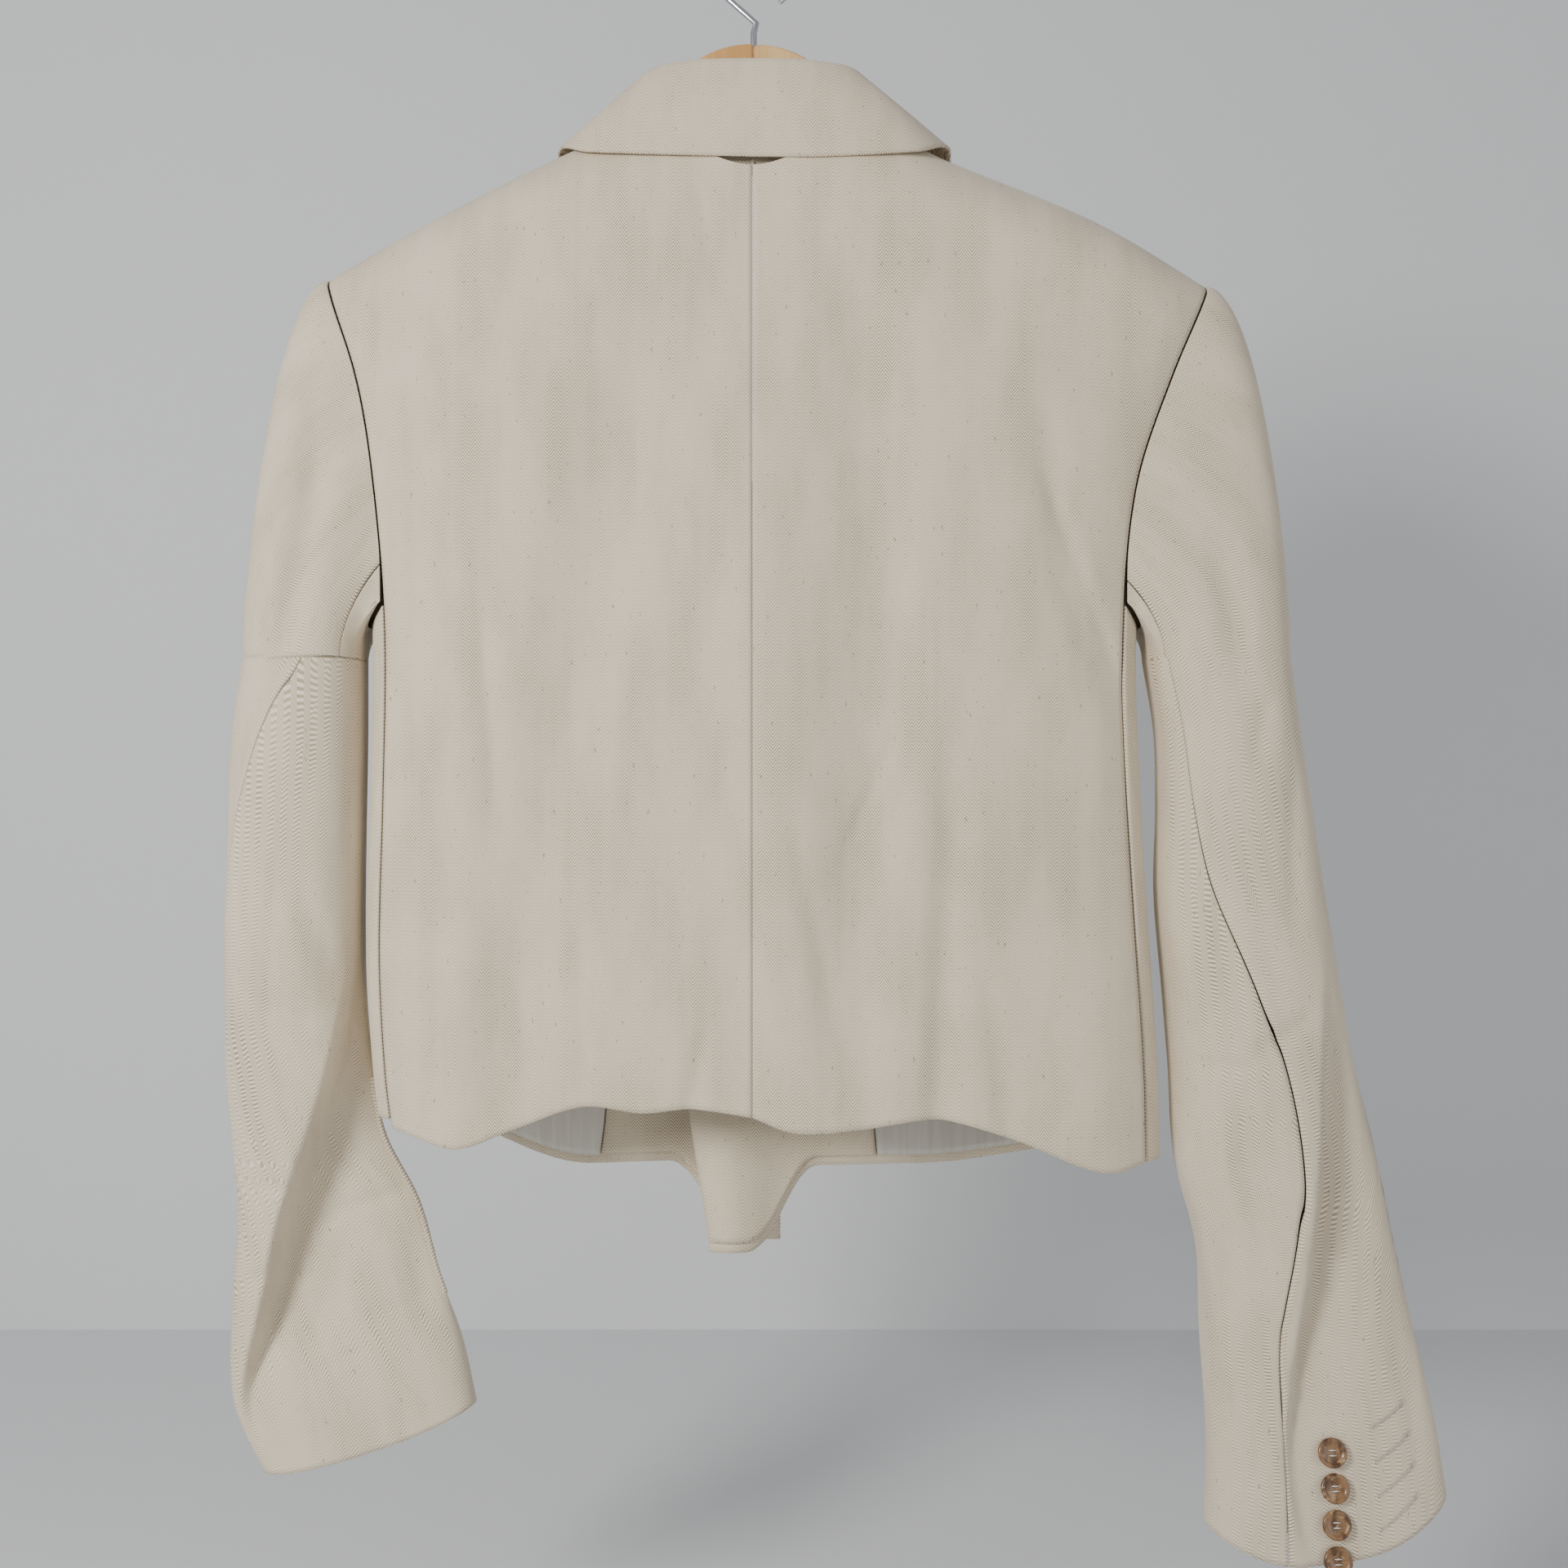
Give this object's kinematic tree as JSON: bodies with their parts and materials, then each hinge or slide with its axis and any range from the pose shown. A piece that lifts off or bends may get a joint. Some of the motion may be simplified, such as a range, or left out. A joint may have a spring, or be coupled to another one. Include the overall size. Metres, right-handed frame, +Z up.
{
  "type": "cropped double-breasted blazer on a wooden hanger",
  "caption": "Cropped double-breasted herringbone blazer with peak lapels, long two-piece sleeves and kissing cuff buttons, hanging from a wooden hanger",
  "frame": {"origin": "inside crest of the hanger hook, where a rail carries it", "axes": "+Z up, +Y out of the back of the jacket, +X towards the wearer's left"},
  "size_m": [0.6471, 0.1099, 0.8622],
  "materials": {
    "herringbone": "matt oatmeal linen-look herringbone",
    "lining": "smooth cream lining",
    "horn": "streaked brown horn, satin",
    "wood": "pale varnished wood",
    "steel": "polished wire"
  },
  "bodies": {
    "root": {"back_left": "herringbone", "side_left": "herringbone", "front_left": "herringbone", "facing_left": "herringbone", "lapel_left": "herringbone", "sleeve_upper_left": "herringbone", "sleeve_under_left": "herringbone", "lining_left": "lining", "hanger_left": "wood", "cuff_button_left_1": "horn", "cuff_button_left_2": "horn", "cuff_button_left_3": "horn", "cuff_button_left_4": "horn", "back_right": "herringbone", "side_right": "herringbone", "front_right": "herringbone", "facing_right": "herringbone", "lapel_right": "herringbone", "sleeve_upper_right": "herringbone", "sleeve_under_right": "herringbone", "lining_right": "lining", "hanger_right": "wood", "cuff_button_right_1": "horn", "cuff_button_right_2": "horn", "cuff_button_right_3": "horn", "cuff_button_right_4": "horn", "collar_fall": "herringbone", "collar_stand": "herringbone", "hanger_hook": "steel", "front_button_upper_left": "horn", "front_button_upper_right": "horn", "front_button_lower_left": "horn", "front_button_lower_right": "horn"}
  },
  "joints": []
}
